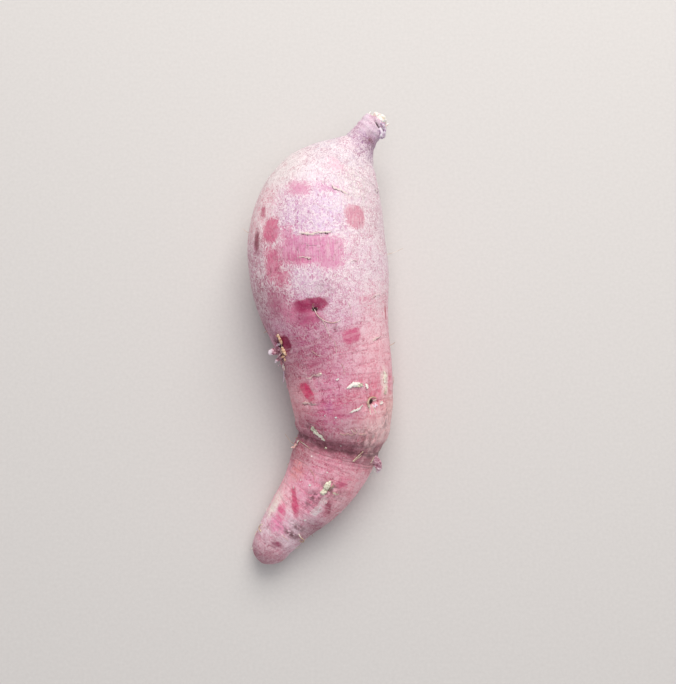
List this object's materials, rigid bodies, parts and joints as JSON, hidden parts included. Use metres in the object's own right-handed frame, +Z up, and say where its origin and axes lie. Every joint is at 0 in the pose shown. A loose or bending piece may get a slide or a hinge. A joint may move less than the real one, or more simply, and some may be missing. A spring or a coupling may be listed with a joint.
{
  "type": "red sweet potato",
  "caption": "Whole raw sweet potato root, rose-red under a pale bloom, bent like a lazy S, with a broken stem, a fold at its waist and a blunt tail; it lies on its side on a small flat spot.",
  "frame": {"origin": "on the table, under the middle of the root's length and width", "axes": "+Z up from the table; +Y along the root towards the broken stem; +X to the right seen from above with the stem at the top"},
  "size_m": [0.063, 0.195, 0.0537],
  "materials": {
    "skin": "dry matt root skin, deep rose under a pale lilac-cream dusty bloom that is rubbed off in patches",
    "torn_flesh": "torn and dried pale flesh, matt cream-white, at the broken stem",
    "rootlet": "dry straw-coloured hair roots and root stubs, matt",
    "peeled_skin": "papery flakes of lifted skin, matt cream"
  },
  "bodies": {
    "root": {"sweet_potato": "skin"}
  },
  "joints": []
}
